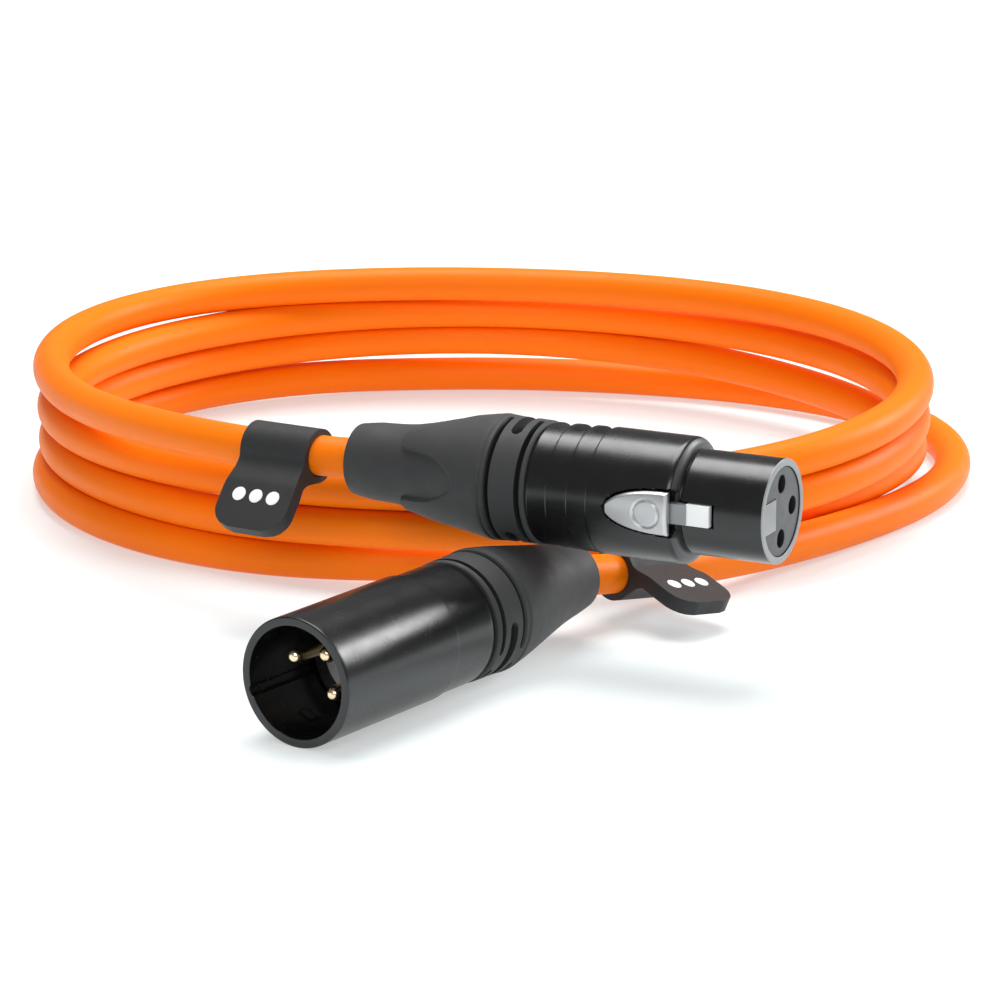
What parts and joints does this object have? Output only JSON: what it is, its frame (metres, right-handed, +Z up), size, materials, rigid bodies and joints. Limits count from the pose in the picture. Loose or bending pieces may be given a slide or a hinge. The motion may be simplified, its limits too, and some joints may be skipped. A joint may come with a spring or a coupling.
{
  "type": "xlr cable coil",
  "caption": "Three-pole microphone cable lying in a stacked coil, with a latching socket connector and a pin connector in front and rubber cable clips.",
  "frame": {"origin": "middle of the outer box's foot, on the surface the coil lies on", "axes": "+Z up; -Y is where the pin connector's cup opens; the socket connector's nose points to +X"},
  "size_m": [0.1858, 0.2158, 0.0363],
  "materials": {
    "jacket": "satin orange jacket",
    "clip_rubber": "matt black",
    "white_print": "printed white",
    "shell_black": "satin black",
    "insert_grey": "mid grey",
    "insert_black": "black",
    "contact_gold": "gold plated",
    "bright_metal": "satin nickel",
    "boot_rubber": "soft matt dark grey",
    "sleeve_metal": "dark threaded sleeve",
    "chuck_white": "natural white",
    "braid": "tinned braid",
    "core_red": "red insulation",
    "core_white": "white insulation"
  },
  "bodies": {
    "cable_and_shells": {"cable_coil": "jacket", "cable_tail_female": "jacket", "cable_tail_male": "jacket", "female_shell": "shell_black", "male_shell": "shell_black", "female_insert": "insert_grey", "male_insert": "insert_black", "female_socket_1": "contact_gold", "female_socket_2": "contact_gold", "female_socket_3": "contact_gold", "male_pin_1": "contact_gold", "male_pin_2": "contact_gold", "male_pin_3": "contact_gold", "female_latch_spring": "bright_metal", "male_ground_spring": "bright_metal", "female_shield": "braid", "male_shield": "braid", "female_hot": "core_red", "male_hot": "core_red", "female_cold": "core_white", "male_cold": "core_white"},
    "latch": {"female_latch": "bright_metal"},
    "female_chuck_body": {"female_chuck": "chuck_white"},
    "female_boot_body": {"female_boot": "boot_rubber", "female_sleeve": "sleeve_metal"},
    "male_chuck_body": {"male_chuck": "chuck_white"},
    "male_boot_body": {"male_boot": "boot_rubber", "male_sleeve": "sleeve_metal"},
    "clip_female_body": {"clip_female": "clip_rubber", "clip_female_dot_1": "white_print", "clip_female_dot_2": "white_print", "clip_female_dot_3": "white_print"},
    "clip_male_body": {"clip_male": "clip_rubber", "clip_male_dot_1": "white_print", "clip_male_dot_2": "white_print", "clip_male_dot_3": "white_print"}
  },
  "joints": [
    {"name": "latch_press", "type": "hinge", "parent": "cable_and_shells", "child": "latch", "pos_m": [0.06956, -0.05675, 0.02675], "axis": [0, 0, 1], "range_deg": [0, 5], "stiffness_Nm_per_rad": 0.15, "springref_deg": -5.73},
    {"name": "female_chuck_slide", "type": "slide", "parent": "cable_and_shells", "child": "female_chuck_body", "axis": [-0.9877, -0.1562, 0], "range_m": [0, 0.0011]},
    {"name": "female_boot_turn", "type": "hinge", "parent": "female_chuck_body", "child": "female_boot_body", "pos_m": [0.09168, -0.04424, 0.02675], "axis": [-0.9877, -0.1562, 0], "range_deg": [0, 720]},
    {"name": "male_chuck_slide", "type": "slide", "parent": "cable_and_shells", "child": "male_chuck_body", "axis": [0, 1, 0], "range_m": [0, 0.0011]},
    {"name": "male_boot_turn", "type": "hinge", "parent": "male_chuck_body", "child": "male_boot_body", "pos_m": [0.05142, -0.10786, 0.0095], "axis": [0, 1, 0], "range_deg": [0, 720]},
    {"name": "clip_female_turn", "type": "hinge", "parent": "cable_and_shells", "child": "clip_female_body", "pos_m": [0.01015, -0.0574, 0.02653], "axis": [0.9969, 0.0785, 0.007], "range_deg": [-125, 0]},
    {"name": "clip_male_turn", "type": "hinge", "parent": "cable_and_shells", "child": "clip_male_body", "pos_m": [0.05409, -0.02511, 0.00714], "axis": [0.1668, 0.9756, -0.1426], "range_deg": [-100, 4]}
  ],
  "couplings": [
    {"joint": "female_chuck_slide", "follows": "female_boot_turn", "m_per_rad": 0.000079577},
    {"joint": "male_chuck_slide", "follows": "male_boot_turn", "m_per_rad": 0.000079577}
  ]
}
